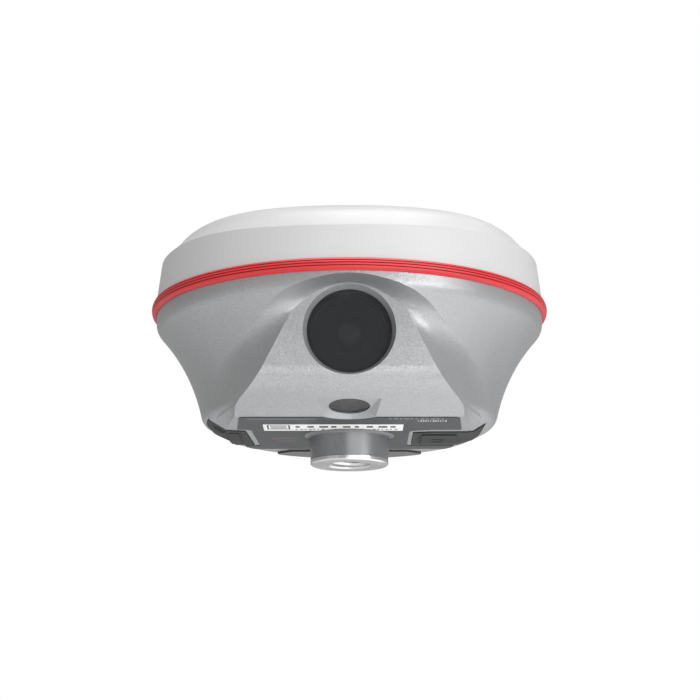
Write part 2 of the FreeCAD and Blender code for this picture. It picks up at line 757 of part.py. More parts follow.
# ---------------------------------------------------------------- power
def battery_cells():
    cells = []
    for x in (-CELL_X, CELL_X):
        for z in (30.0, 48.6):
            cell = rod(CELL_R, CELL_L - 1.4, V(x, -CELL_L / 2, z), BACK)
            tip = rod(2.8, 1.4, V(x, CELL_L / 2 - 1.4, z), BACK)
            cells.append(cell.fuse(tip))
    return cells


def battery_tray():
    """Two cradles of ribs, tied by a bridge over the insert socket."""
    pieces = []
    for x in (-CELL_X, CELL_X):
        for y in (-25.0, 0.0, 25.0):
            pieces.append(box(x - 10, x + 10, y - 1.5, y + 1.5, TRAY_Z, 52))
        pieces.append(box(x - 9, x + 9, -31, 31, TRAY_Z, TRAY_Z + 1.8))
    pieces.append(box(-21, 21, -1.5, 1.5, 35, 41))
    tray = joined(pieces)
    for x in (-CELL_X, CELL_X):
        for z in (30.0, 48.6):
            tray = tray.cut(rod(CELL_R + FIT, CELL_L + 4, V(x, -CELL_L / 2 - 2, z), BACK))
    return tray


def speaker():
    """Basket and magnet turned in one piece, with a dished cone facing the floor of the housing."""
    floor = UNDERSIDE_Z + WALL
    outline = [(7.5, 0), (9, 0), (9, 4), (5, 4), (5, 5.5), (0, 5.5), (0, 3), (3, 3), (7.5, 1)]
    body = turned([(r, floor + z) for r, z in outline])
    body.translate(V(0, SPEAKER_Y, 0))
    return body


# ---------------------------------------------------------------- main board
def main_board():
    board = rod(66, BOARD_T, V(0, 0, BOARD_Z))
    for x, y in post_spots():
        board = board.cut(rod(1.8, 10, V(x, y, BOARD_Z - 4)))
    for hole in ring_of(lambda a: rod(1.3, 10, polar(STANDOFF_R, a, BOARD_Z - 4)), 4):
        board = board.cut(hole)
    return board


def on_board(x, y, width, depth, height):
    z = BOARD_Z + BOARD_T
    return box(x - width / 2, x + width / 2, y - depth / 2, y + depth / 2, z, z + height)


def board_chips():
    spots = [(-14, 32), (0, 32), (14, 32), (-44, 22), (44, 22), (-10, -36), (10, -36), (44, -20)]
    return [on_board(x, y, 8, 8, 1.2) for x, y in spots]


def standoffs():
    z = BOARD_Z + BOARD_T

    def post(angle):
        spot = polar(STANDOFF_R, angle, z)
        corners = [polar(3.0, math.radians(60 * i), 0) for i in range(6)]
        hexagon = polygon([spot + c for c in corners]).extrude(V(0, 0, FRAME_Z - z))
        return hexagon.cut(rod(1.25, 20, spot - V(0, 0, 5)))

    return ring_of(post, 4)


def short_screws(radius, count, first, head_z, head_up, length, shank_r):
    """Pan-head screws in a circle; head_up says which way the shank runs from the head."""
    head_h = 1.6

    def screw(angle):
        spot = polar(radius, angle, head_z)
        if head_up:
            shape = rod(2.4, head_h, spot).fuse(rod(shank_r, length, spot - V(0, 0, length)))
            return shape.cut(rod(0.9, 1.0, spot + V(0, 0, head_h - 1.0)))
        shape = rod(2.4, head_h, spot - V(0, 0, head_h)).fuse(rod(shank_r, length, spot))
        return shape.cut(rod(0.9, 1.0, spot - V(0, 0, head_h)))

    return ring_of(screw, count, first)


def housing_screws():
    screws = []
    for x, y in post_spots():
        head = rod(HEAD_R, 2.0, V(x, y, HEAD_Z))
        shank = rod(1.5, FRAME_Z + FRAME_T - HEAD_Z - 2.0, V(x, y, HEAD_Z + 2.0))
        screw = head.fuse(shank).cut(rod(1.2, 1.1, V(x, y, HEAD_Z)))
        screws.append(screw)
    return screws


# ---------------------------------------------------------------- antenna stack
def mid_frame():
    """Cast frame that ties the housing screws, the board standoffs and the radome bosses."""
    frame = tube(66, 30, FRAME_T, V(0, 0, FRAME_Z))
    z = BOARD_Z + BOARD_T + FIT
    for x, y in post_spots():
        frame = frame.fuse(rod(3.6, FRAME_Z - z, V(x, y, z)))
    for i in range(8):
        rib = box(32, 56, -1, 1, FRAME_Z - 2, FRAME_Z)
        rib.rotate(ORIGIN, UP, 22.5 + 45 * i)
        frame = frame.fuse(rib)
    for x, y in post_spots():
        frame = frame.cut(rod(1.5 + FIT, 20, V(x, y, z - 3)))
    for hole in ring_of(lambda a: rod(1.3, 10, polar(STANDOFF_R, a, FRAME_Z - 4)), 4):
        frame = frame.cut(hole)
    for hole in ring_of(lambda a: rod(1.3, 10, polar(BOSS_R, a, FRAME_Z - 4)), 6, 30):
        frame = frame.cut(hole)
    return frame


def plane_spacers():
    z = FRAME_Z + FRAME_T
    return ring_of(lambda a: rod(2.5, PLANE_Z - z, polar(42, a, z)), 6)


def pin_spots():
    return [polar(20, math.radians(45 + 90 * i), 0) for i in range(4)]


def antenna_element(radius, z, height, notch):
    element = rod(radius, height, V(0, 0, z))
    for i in range(4):
        cut = box(radius - notch, radius + 5, -2, 2, z - 1, z + height + 1)
        cut.rotate(ORIGIN, UP, 90 * i)
        element = element.cut(cut)
    return element


def antenna_stack():
    """Ground plane, two ceramic elements and the board below, all pierced by the feed pins."""
    base = PLANE_Z + PLANE_T
    parts = {
        "antenna_ground_plane": rod(54, PLANE_T, V(0, 0, PLANE_Z)),
        "lower_antenna_element": antenna_element(42, base, 6, 4),
        "upper_antenna_element": antenna_element(30, base + 6, 6, 3),
        "amplifier_board": rod(27, 1.2, V(0, 0, PLANE_Z - 1.2)),
    }
    for name in parts:
        for spot in pin_spots():
            parts[name] = parts[name].cut(rod(0.6 + FIT, 40, spot + V(0, 0, 55)))
    pins = []
    for spot in pin_spots():
        pin = rod(0.6, base + 12 - 67.6, spot + V(0, 0, 67.6))
        pins.append(pin.fuse(rod(1.4, 0.4, spot + V(0, 0, base + 12))))
    parts["feed_pins"] = pins
    return parts


def amplifier_shield():
    z = PLANE_Z - 1.2
    can = box(-13, 13, -11, 11, z - 3.2, z)
    return can.cut(box(-12.6, 12.6, -10.6, 10.6, z - 2.8, z + 1))


def strip_antennas():
    """Upright radio antenna boards near the wall, one each side."""
    z = FRAME_Z + FRAME_T
    return [box(x - 0.5, x + 0.5, -18, 18, z, z + 8) for x in (-63.5, 63.5)]


def coax_cable():
    points = [V(-19, 12, PLANE_Z - 1.2), V(-20, 13.5, 65.4), V(-23.5, 18, 63), V(-27, 20, BOARD_Z + BOARD_T)]
    spline = Part.BSplineCurve()
    spline.interpolate(points)
    path = Part.Wire(spline.toShape())
    start = Part.Wire(Part.makeCircle(0.7, points[0], spline.tangent(spline.FirstParameter)[0]))
    cable = path.makePipeShell([start], True, True)
    slab = box(-60, 60, -60, 60, BOARD_Z + BOARD_T, PLANE_Z - 1.2)
    return cable.common(slab)


# ---------------------------------------------------------------- write the nodes
save("top_cover", top_cover())
save("bumper_ring", bumper_ring())
save("main_seal", tube(LIP_R - 0.2, LIP_INNER_R + 0.3, SEAL_H, V(0, 0, RIM_Z)))
save("lower_housing", lower_housing())
save("mount_boss", mount_boss())
save("thread_insert", thread_insert())
save("label_plate", label_plate())
save("rating_sticker", rating_sticker())

save("front_window", front_at(front_window()))
save("front_window_gasket", front_at(front_gasket()))
save("front_lens_barrel", front_at(front_barrel()))
save("front_lens", front_at(front_lens()))
save("front_camera_holder", front_at(front_holder()))
save("front_camera_screws", [front_at(screw) for screw in front_screws()])
save("front_camera_board", front_at(front_board()))
save("camera_ribbon", box(-4.5, 4.5, -44.3 + 1.0, -43.05, 43, BOARD_Z))

save("bottom_window", down_placed(down_window()))
save("bottom_window_gasket", down_placed(down_gasket()))
save("bottom_lens_barrel", down_placed(down_barrel()))
save("bottom_lens", down_placed(down_lens()))
save("bottom_camera_board", down_placed(down_board()))

save("left_port_flap", left_flap())
save("left_flap_anchor", cover_anchor(LEFT_COVER, LEFT_HINGE_X, -1))
save("right_port_flap", right_flap())
save("right_flap_anchor", cover_anchor(RIGHT_COVER, RIGHT_HINGE_X, 1))
save("usb_connector", usb_connector())
save("card_slot", card_slot())

save("rear_panel", rear_panel())
save("power_button", power_button())
save("light_pipes", light_pipes())
save("key_board", key_board())
save("key_switch", key_switch())

save("battery_cells", battery_cells())
save("battery_tray", battery_tray())
save("vent_membrane", rod(7.4, 0.3, V(0, SPEAKER_Y, UNDERSIDE_Z + WALL)))
save("speaker", speaker())

save("main_board", main_board())
save("board_chips", board_chips())
save("gnss_module", on_board(-26, 0, 24, 30, 2.6))
save("radio_module", on_board(26, 0, 24, 30, 2.6))
save("tilt_sensor", on_board(0, 0, 12, 12, 2.0))
save("board_standoffs", standoffs())
save("board_screws", short_screws(STANDOFF_R, 4, 0, BOARD_Z, False, 4, 1.25 - FIT))
save("frame_screws", short_screws(STANDOFF_R, 4, 0, FRAME_Z + FRAME_T, True, 4.4, 1.25 - FIT))
save("cover_screws", short_screws(BOSS_R, 6, 30, FRAME_Z, False, 9, 1.25 - FIT))
save("housing_screws", housing_screws())

save("mid_frame", mid_frame())
save("plane_spacers", plane_spacers())
for node, shape in antenna_stack().items():
    save(node, shape)
save("amplifier_shield", amplifier_shield())
save("strip_antennas", strip_antennas())
save("coax_cable", coax_cable())
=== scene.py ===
"""Looks of the survey receiver: materials, printed marks, pole thread, studio and camera."""

import json
import math

import bmesh
import bpy
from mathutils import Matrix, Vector
from mathutils.bvhtree import BVHTree


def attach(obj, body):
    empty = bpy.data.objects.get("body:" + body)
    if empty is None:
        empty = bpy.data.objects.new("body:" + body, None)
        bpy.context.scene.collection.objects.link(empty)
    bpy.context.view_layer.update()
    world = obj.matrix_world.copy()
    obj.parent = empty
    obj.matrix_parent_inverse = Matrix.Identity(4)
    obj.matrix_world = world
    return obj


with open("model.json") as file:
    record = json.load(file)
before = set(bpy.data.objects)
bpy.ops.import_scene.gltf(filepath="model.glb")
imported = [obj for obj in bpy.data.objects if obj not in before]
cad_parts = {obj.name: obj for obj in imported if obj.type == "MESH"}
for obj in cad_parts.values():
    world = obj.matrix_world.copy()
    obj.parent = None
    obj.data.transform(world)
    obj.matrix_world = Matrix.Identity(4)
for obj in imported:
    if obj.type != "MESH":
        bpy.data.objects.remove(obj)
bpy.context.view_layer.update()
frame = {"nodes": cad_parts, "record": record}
NODES = frame["nodes"]
ROOT = "receiver"
MM = 0.001


# ---------------------------------------------------------------- node materials
class Shader:
    """A procedural material: colour drift, fine bump, roughness drift, painted shade and dust in corners,
    worn edges with a painted highlight.
    """

    def __init__(self, name, color, rough, metallic=0.0, coat=0.0, coat_rough=0.1):
        self.mat = bpy.data.materials.new(name)
        self.mat.use_nodes = True
        self.tree = self.mat.node_tree
        self.bsdf = self.tree.nodes["Principled BSDF"]
        self.coords = self.add("ShaderNodeTexCoord").outputs["Object"]
        self.color = self.rgb(color)
        self.rough = self.value(rough)
        self.normal = None
        self.bsdf.inputs["Metallic"].default_value = metallic
        self.bsdf.inputs["Coat Weight"].default_value = coat
        self.bsdf.inputs["Coat Roughness"].default_value = coat_rough

    def add(self, kind, **settings):
        node = self.tree.nodes.new(kind)
        for key, val in settings.items():
            setattr(node, key, val)
        return node

    def link(self, out, socket):
        self.tree.links.new(out, socket)

    def rgb(self, color):
        node = self.add("ShaderNodeRGB")
        node.outputs[0].default_value = (*color, 1.0)
        return node.outputs[0]

    def value(self, number):
        node = self.add("ShaderNodeValue")
        node.outputs[0].default_value = number
        return node.outputs[0]

    def math(self, operation, a, b=0.5, clamp=False):
        node = self.add("ShaderNodeMath", operation=operation, use_clamp=clamp)
        for socket, item in zip(node.inputs, (a, b)):
            if isinstance(item, (int, float)):
                socket.default_value = item
            else:
                self.link(item, socket)
        return node.outputs[0]

    def ramp(self, value, low, high, out_low=0.0, out_high=1.0):
        node = self.add("ShaderNodeMapRange", interpolation_type="SMOOTHSTEP")
        self.link(value, node.inputs["Value"])
        for key, val in (("From Min", low), ("From Max", high), ("To Min", out_low), ("To Max", out_high)):
            node.inputs[key].default_value = val
        return node.outputs[0]

    def mix(self, factor, a, b, blend="MIX"):
        node = self.add("ShaderNodeMix", data_type="RGBA", blend_type=blend)
        for socket, item in ((node.inputs[0], factor), (node.inputs[6], a), (node.inputs[7], b)):
            if isinstance(item, (int, float)):
                socket.default_value = item
            elif isinstance(item, tuple):
                socket.default_value = (*item, 1.0)
            else:
                self.link(item, socket)
        return node.outputs[2]

    def stretched(self, scale):
        node = self.add("ShaderNodeMapping")
        self.link(self.coords, node.inputs["Vector"])
        node.inputs["Scale"].default_value = scale
        return node.outputs[0]

    def noise(self, scale, detail=2.0, coords=None, rough=0.5):
        node = self.add("ShaderNodeTexNoise")
        self.link(coords or self.coords, node.inputs["Vector"])
        node.inputs["Scale"].default_value = scale
        node.inputs["Detail"].default_value = detail
        node.inputs["Roughness"].default_value = rough
        return node.outputs["Fac"]

    def drift(self, amount, scale=28.0):
        """Slow change of tone over the surface."""
        tone = self.ramp(self.noise(scale, 3.0), 0.3, 0.7, 1.0 - amount, 1.0 + amount)
        grey = self.add("ShaderNodeCombineColor")
        for socket in grey.inputs[:3]:
            self.link(tone, socket)
        self.color = self.mix(1.0, self.color, grey.outputs[0], "MULTIPLY")
        return self

    def specks(self, color, scale, threshold, amount):
        """Sparse spots, such as dust."""
        spots = self.ramp(self.noise(scale, 4.0, rough=0.65), threshold, threshold + 0.06, 0.0, amount)
        self.color = self.mix(spots, self.color, color)
        return self

    def rough_drift(self, amount, scale=60.0):
        shift = self.ramp(self.noise(scale, 4.0, rough=0.6), 0.3, 0.7, -amount, amount)
        self.rough = self.math("ADD", self.rough, shift, True)
        return self

    def bump(self, height, distance, strength=1.0):
        node = self.add("ShaderNodeBump")
        node.inputs["Strength"].default_value = strength
        node.inputs["Distance"].default_value = distance
        self.link(height, node.inputs["Height"])
        if self.normal is not None:
            self.link(self.normal, node.inputs["Normal"])
        self.normal = node.outputs[0]
        return self

    def grain(self, scale, distance, detail=3.0, strength=1.0):
        """Fine moulded or sprayed texture."""
        return self.bump(self.noise(scale, detail), distance, strength)

    def corners(self, color, reach, amount):
        """Painted shade and some dirt in corners: the ambient occlusion mask mixes in a darker tone where
        shade falls.
        """
        node = self.add("ShaderNodeAmbientOcclusion", samples=6)
        node.inputs["Distance"].default_value = reach
        shade = self.ramp(node.outputs["AO"], 0.35, 0.95, amount, 0.0)
        self.color = self.mix(shade, self.color, color)
        return self

    def edges(self, color, radius, amount, rough=None):
        """Lighter sharp edges, broken up by noise: partly rubbed finish, partly a painted highlight along
        the edges.
        """
        bevel = self.add("ShaderNodeBevel", samples=4)
        bevel.inputs["Radius"].default_value = radius
        geometry = self.add("ShaderNodeNewGeometry")
        dot = self.add("ShaderNodeVectorMath", operation="DOT_PRODUCT")
        self.link(bevel.outputs[0], dot.inputs[0])
        self.link(geometry.outputs["Normal"], dot.inputs[1])
        sharp = self.ramp(dot.outputs["Value"], 0.995, 0.9, 0.0, 1.0)
        patchy = self.ramp(self.noise(240.0, 4.0), 0.42, 0.62, 0.0, amount)
        mask = self.math("MULTIPLY", sharp, patchy, True)
        self.color = self.mix(mask, self.color, color)
        if rough is not None:
            node = self.add("ShaderNodeMix", data_type="FLOAT")
            self.link(mask, node.inputs[0])
            self.link(self.rough, node.inputs[2])
            node.inputs[3].default_value = rough
            self.rough = node.outputs[0]
        return self

    def flakes(self, scale, tilt, sparkle):
        """Metal flakes: each cell tips the normal a little and differs in brightness."""
        cells = self.add("ShaderNodeTexVoronoi", feature="F1")
        self.link(self.coords, cells.inputs["Vector"])
        cells.inputs["Scale"].default_value = scale
        centred = self.add("ShaderNodeVectorMath", operation="SUBTRACT")
        self.link(cells.outputs["Color"], centred.inputs[0])
        centred.inputs[1].default_value = (0.5, 0.5, 0.5)
        scaled = self.add("ShaderNodeVectorMath", operation="SCALE")
        self.link(centred.outputs[0], scaled.inputs[0])
        scaled.inputs["Scale"].default_value = tilt
        geometry = self.add("ShaderNodeNewGeometry")
        tipped = self.add("ShaderNodeVectorMath", operation="ADD")
        self.link(self.normal or geometry.outputs["Normal"], tipped.inputs[0])
        self.link(scaled.outputs[0], tipped.inputs[1])
        unit = self.add("ShaderNodeVectorMath", operation="NORMALIZE")
        self.link(tipped.outputs[0], unit.inputs[0])
        self.normal = unit.outputs[0]
        split = self.add("ShaderNodeSeparateColor")
        self.link(cells.outputs["Color"], split.inputs[0])
        glint = self.ramp(split.outputs[0], 0.0, 1.0, 1.0 - sparkle, 1.0 + sparkle)
        grey = self.add("ShaderNodeCombineColor")
        for socket in grey.inputs[:3]:
            self.link(glint, socket)
        self.color = self.mix(1.0, self.color, grey.outputs[0], "MULTIPLY")
        return self

    def done(self):
        self.link(self.color, self.bsdf.inputs["Base Color"])
        self.link(self.rough, self.bsdf.inputs["Roughness"])
        if self.normal is not None:
            self.link(self.normal, self.bsdf.inputs["Normal"])
        return self.mat


DUST = (0.42, 0.40, 0.37)
# Lighter edge tone: rubbed paint, and a painted highlight along sharp edges.
BARE_AND_HIGHLIGHT = (0.62, 0.62, 0.63)


def silver_paint():
    s = Shader("silver_paint", (0.40, 0.405, 0.412), 0.42, metallic=0.6, coat=0.2, coat_rough=0.3)
    s.drift(0.025).rough_drift(0.04)
    s.grain(1500.0, 0.02 * MM, 2.0, 0.5).flakes(4200.0, 0.16, 0.10)
    # Painted shade: the occlusion mask darkens the paint in corners and recesses.
    s.corners((0.16, 0.16, 0.16), 1.2 * MM, 0.35)
    # Painted highlight along sharp edges and creases, partly rubbed paint.
    return s.edges(BARE_AND_HIGHLIGHT, 0.35 * MM, 0.35, 0.3).done()


def radome_white():
    s = Shader("radome_white", (0.53, 0.53, 0.53), 0.42, coat=0.06, coat_rough=0.3)
    s.drift(0.012).specks(DUST, 900.0, 0.74, 0.12).rough_drift(0.05)
    return s.grain(2600.0, 0.015 * MM, 2.0, 0.5).corners((0.55, 0.54, 0.52), 0.8 * MM, 0.3).done()


def red_rubber():
    s = Shader("red_rubber", (0.62, 0.030, 0.036), 0.42, coat=0.05, coat_rough=0.3)
    s.drift(0.05).rough_drift(0.06).grain(2200.0, 0.03 * MM, 3.0, 0.5)
    # Painted shade: the grooves between the ribs turn nearly black.
    return s.corners((0.10, 0.004, 0.006), 0.7 * MM, 0.9).done()


def rubber(name, color, rough=0.62):
    s = Shader(name, color, rough)
    s.drift(0.07).specks(DUST, 700.0, 0.70, 0.10).rough_drift(0.07)
    # Painted shade: near-black in corners and grooves.
    return s.grain(2400.0, 0.04 * MM, 3.0).corners((0.01, 0.01, 0.01), 0.8 * MM, 0.5).done()


def satin_plastic(name, color, rough=0.45, coat=0.0):
    s = Shader(name, color, rough, coat=coat)
    s.drift(0.05).rough_drift(0.05).grain(2800.0, 0.02 * MM, 3.0, 0.7)
    # Painted shade: a darker tone of the colour in corners.
    return s.corners(tuple(0.4 * c for c in color), 1.0 * MM, 0.4).done()


def coated_metal(name, color, rough):
    s = Shader(name, color, rough, metallic=0.35, coat=0.15, coat_rough=0.3)
    s.drift(0.04).rough_drift(0.05).grain(2500.0, 0.02 * MM, 3.0, 0.6)
    # Painted shade: near-black in corners.
    s.corners((0.03, 0.03, 0.03), 1.2 * MM, 0.5)
    # Painted highlight along sharp edges, partly rubbed coating.
    return s.edges(BARE_AND_HIGHLIGHT, 0.3 * MM, 0.5, 0.3).done()


def turned_steel(name, color=(0.72, 0.72, 0.73), rough=0.24):
    """Lathe rings: noise stretched so that it changes only with height and radius."""
    s = Shader(name, color, rough, metallic=1.0)
    s.drift(0.05).rough_drift(0.06)
    split = s.add("ShaderNodeSeparateXYZ")
    s.link(s.coords, split.inputs[0])
    radius = s.math("POWER", s.math("ADD", s.math("POWER", split.outputs[0], 2.0),
                                    s.math("POWER", split.outputs[1], 2.0)), 0.5)
    rings = s.add("ShaderNodeCombineXYZ")
    s.link(radius, rings.inputs[0])
    s.link(split.outputs[2], rings.inputs[1])
    s.bump(s.noise(5200.0, 2.0, rings.outputs[0]), 0.03 * MM, 0.6)
    # Painted shade: darker in corners.
    s.corners((0.12, 0.12, 0.12), 1.0 * MM, 0.5)
    # Painted highlight: near-white along sharp edges, partly polished wear.
    return s.edges((0.9, 0.9, 0.9), 0.25 * MM, 0.6, 0.15).done()


def brushed(name, color, rough=0.32, along=(1.0, 0.05, 1.0)):
    s = Shader(name, color, rough, metallic=1.0)
    s.drift(0.05).rough_drift(0.07)
    s.bump(s.noise(3000.0, 2.0, s.stretched(along)), 0.02 * MM, 0.5)
    # Painted shade: a darker tone of the colour in corners.
    return s.corners(tuple(0.3 * c for c in color), 0.8 * MM, 0.5).done()


def dark_glass():
    """Smoked cover glass, with faint dust and a soft coating."""
    s = Shader("dark_glass", (0.030, 0.031, 0.034), 0.07, coat=0.2, coat_rough=0.02)
    s.bsdf.inputs["IOR"].default_value = 1.5
    s.bsdf.inputs["Alpha"].default_value = 0.55
    s.specks((0.3, 0.3, 0.3), 500.0, 0.72, 0.15).rough_drift(0.02)
    return s.done()


def inner_black():
    """Even, nearly smooth black of the pieces behind the windows."""
    s = Shader("black_plastic", (0.016, 0.016, 0.017), 0.7)
    s.drift(0.06).rough_drift(0.04)
    return s.grain(900.0, 0.004 * MM, 2.0, 0.3).done()


def lens_glass():
    """Coated lens with a painted reflection: a faint blue-green tint, set by the viewing angle, that
    strengthens towards the rim.
    """
    s = Shader("lens_glass", (0.16, 0.165, 0.17), 0.35, coat=0.5, coat_rough=0.05)
    # Painted reflection: the coating's blue-green sheen follows the viewing angle.
    facing = s.add("ShaderNodeLayerWeight")
    facing.inputs["Blend"].default_value = 0.35
    s.color = s.mix(facing.outputs["Facing"], s.color, (0.16, 0.20, 0.24))
    return s.rough_drift(0.02).done()


def label_print():
    s = Shader("label_print", (0.046, 0.048, 0.051), 0.5)
    s.drift(0.05).rough_drift(0.05)
    # Painted shade: darker in corners.
    return s.grain(1900.0, 0.025 * MM, 3.0).corners((0.02, 0.02, 0.02), 1.0 * MM, 0.4).done()


def circuit_board():
    """Solder mask over a faint pattern of traces."""
    s = Shader("circuit_board", (0.03, 0.15, 0.08), 0.38, coat=0.2)
    traces = s.add("ShaderNodeTexBrick", offset=0.37, squash=1.6)
    s.link(s.coords, traces.inputs["Vector"])
    traces.inputs["Scale"].default_value = 260.0
    traces.inputs["Mortar Size"].default_value = 0.05
    s.color = s.mix(s.math("MULTIPLY", traces.outputs["Fac"], 0.55), s.color, (0.08, 0.30, 0.14))
    s.drift(0.08).bump(traces.outputs["Fac"], 0.03 * MM, 0.6)
    return s.rough_drift(0.05).done()


def membrane():
    s = Shader("vent_film", (0.78, 0.78, 0.76), 0.8)
    weave = s.add("ShaderNodeTexWave", wave_type="BANDS")
    s.link(s.coords, weave.inputs["Vector"])
    weave.inputs["Scale"].default_value = 900.0
    return s.drift(0.04).bump(weave.outputs["Fac"], 0.04 * MM).rough_drift(0.05).done()


MATERIALS = {
    "radome": radome_white(),
    "bumper": red_rubber(),
    "seal": rubber("seal_rubber", (0.03, 0.03, 0.03), 0.55),
    "silver_paint": silver_paint(),
    "label": label_print(),
    "sticker": satin_plastic("white_film", (0.90, 0.90, 0.89), 0.42),
    "collar": coated_metal("collar_coat", (0.19, 0.195, 0.20), 0.30),
    "steel": turned_steel("turned_steel"),
    "black_plastic": inner_black(),
    "dark_glass": dark_glass(),
    "lens_glass": lens_glass(),
    "cover_rubber": rubber("cover_rubber", (0.018, 0.019, 0.020), 0.6),
    "panel_gloss": satin_plastic("panel_gloss", (0.03, 0.03, 0.033), 0.22, 0.4),
    "key_rubber": rubber("key_rubber", (0.12, 0.125, 0.13), 0.5),
    "clear": satin_plastic("light_pipe", (0.62, 0.70, 0.66), 0.25, 0.5),
    "pcb": circuit_board(),
    "chip": satin_plastic("chip_body", (0.03, 0.03, 0.03), 0.5),
    "shield": brushed("shield_can", (0.62, 0.62, 0.60)),
    "cell": satin_plastic("cell_wrap", (0.03, 0.10, 0.32), 0.3, 0.3),
    "tray": satin_plastic("tray_plastic", (0.07, 0.07, 0.07), 0.5),
    "cast": brushed("cast_aluminium", (0.62, 0.62, 0.63), 0.45, (1.0, 1.0, 1.0)),
    "brass": turned_steel("turned_brass", (0.72, 0.50, 0.20), 0.28),
    "zinc": turned_steel("plated_screws", (0.58, 0.58, 0.58), 0.32),
    "ceramic": satin_plastic("ceramic", (0.66, 0.60, 0.50), 0.5),
    "cable": rubber("cable_jacket", (0.06, 0.035, 0.02), 0.45),
    "ribbon": satin_plastic("ribbon_film", (0.55, 0.27, 0.07), 0.35, 0.2),
    "membrane": membrane(),
}

for part in frame["record"]["subparts"]:
    mesh = NODES[part["node"]].data
    mesh.materials.clear()
    mesh.materials.append(MATERIALS[part["material_slot"]])
    mesh.shade_smooth()
    mesh.set_sharp_from_angle(angle=math.radians(28))


# ---------------------------------------------------------------- pole thread
def new_piece(name, mesh, material, body):
    mesh.materials.append(material)
    obj = bpy.data.objects.new(name, mesh)
    bpy.context.scene.collection.objects.link(obj)
    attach(obj, body)


def pole_thread():
    """Right-handed 5/8-11 ridge wound up the wall of the insert's hole."""
    pitch = 25.4 / 11 * MM
    root, crest = 7.96 * MM, 6.95 * MM
    root_half, crest_half = 0.46 * pitch, 0.07 * pitch
    low, high = 0.7 * MM + root_half, 24.3 * MM - root_half
    per_turn = 48
    steps = int((high - low) / pitch * per_turn)
    verts, faces = [], []
    for i in range(steps + 1):
        angle = 2 * math.pi * i / per_turn
        z = low + pitch * i / per_turn
        fade = min(1.0, i / 16.0, (steps - i) / 16.0)
        tip = root - (root - crest) * fade
        for radius, shift in ((root, -root_half), (tip, -crest_half), (tip, crest_half), (root, root_half)):
            verts.append((radius * math.cos(angle), radius * math.sin(angle), z + shift))
    for i in range(steps):
        a, b = 4 * i, 4 * (i + 1)
        faces += [(a + k, b + k, b + (k + 1) % 4, a + (k + 1) % 4) for k in range(4)]
    faces += [(0, 1, 2, 3), (4 * steps + 3, 4 * steps + 2, 4 * steps + 1, 4 * steps)]
    mesh = bpy.data.meshes.new("pole_thread_turns")
    mesh.from_pydata(verts, [], faces)
    mesh.shade_smooth()
    mesh.set_sharp_from_angle(angle=math.radians(28))
    new_piece("pole_thread_turns", mesh, MATERIALS["steel"], ROOT)


pole_thread()


# ---------------------------------------------------------------- generic printed and moulded marks
def surface_tree(node):
    """Search tree of a CAD node's mesh in the shared frame."""
    obj = NODES[node]
    bm = bmesh.new()
    bm.from_mesh(obj.data)
    bm.transform(obj.matrix_world)
    tree = BVHTree.FromBMesh(bm)
    bm.free()
    return tree


def ring_outline(x, y, radius, width, count=40):
    """Quads of a flat ring, in millimetres."""
    quads = []
    for i in range(count):
        a, b = (2 * math.pi * k / count for k in (i, i + 1))
        quads.append([(x + q * math.cos(t), y + q * math.sin(t))
                      for q, t in ((radius, a), (radius, b), (radius - width, b), (radius - width, a))])
    return quads


def bar(x0, x1, y0, y1):
    """A rectangle cut in short lengths, so that it follows a curved surface."""
    count = max(1, int((x1 - x0) / 1.5))
    xs = [x0 + (x1 - x0) * i / count for i in range(count + 1)]
    return [[(a, y0), (b, y0), (b, y1), (a, y1)] for a, b in zip(xs, xs[1:])]


def marks(name, node, quads, height, material, body):
    """Raised marks on the underside of a node: every corner is dropped onto its surface."""
    tree = surface_tree(node)
    bm = bmesh.new()
    for quad in quads:
        starts = [Vector((x * MM, y * MM, SCAN_START_Z)) for x, y in quad]
        hits = [tree.ray_cast(start, Vector((0, 0, 1)))[:2] for start in starts]
        if any(spot is None for spot, _ in hits):
            continue
        out = [bm.verts.new(spot + normal * height * MM) for spot, normal in hits]
        back = [bm.verts.new(spot - normal * MARK_SINK * MM) for spot, normal in hits]
        bm.faces.new(out)
        bm.faces.new(back[::-1])
        for k in range(4):
            bm.faces.new((back[k], back[(k + 1) % 4], out[(k + 1) % 4], out[k]))
    bmesh.ops.remove_doubles(bm, verts=bm.verts, dist=1e-6)
    bmesh.ops.recalc_face_normals(bm, faces=bm.faces)
    if not bm.faces:
        raise RuntimeError("no surface under the marks " + name)
    mesh = bpy.data.meshes.new(name)
    bm.to_mesh(mesh)
    bm.free()
    new_piece(name, mesh, material, body)


def dashes(x0, x1, y0, y1, pitch, seed):
    """A row of dashes whose lengths vary in a fixed pattern. They spell nothing."""
    quads = []
    x = x0
    i = 0
    while x < x1 - pitch * 0.4:
        length = pitch * (0.35 + 0.4 * ((i * seed) % 5) / 4.0)
        quads += bar(x, min(x + length, x1), y0, y1)
        x += pitch
        i += 1
    return quads


def box_outline(x0, x1, y0, y1, width):
    """The four sides of a plain rectangle."""
    sides = bar(x0, x1, y0, y0 + width) + bar(x0, x1, y1 - width, y1)
    for left in (x0, x1 - width):
        sides += bar(left, left + width, y0 + width, y1 - width)
    return sides


def ruled_box(x0, x1, y0, y1, lines):
    """A rectangle with even, plain lines across it."""
    quads = box_outline(x0, x1, y0, y1, 0.6)
    pitch = (y1 - y0) / (lines + 1)
    for i in range(1, lines + 1):
        quads += bar(x0 + 1.2, x1 - 1.2, y0 + pitch * i - 0.45, y0 + pitch * i + 0.45)
    return quads


PRINT_HEIGHT = 0.03
MOULDED_HEIGHT = 0.22
MARK_SINK = 0.03
SCAN_START_Z = -0.02

INK = satin_plastic("print_ink", (0.04, 0.04, 0.042), 0.5)
PALE = satin_plastic("pale_print", (0.42, 0.42, 0.42), 0.5)
RED_INK = satin_plastic("red_print", (0.45, 0.04, 0.05), 0.5)

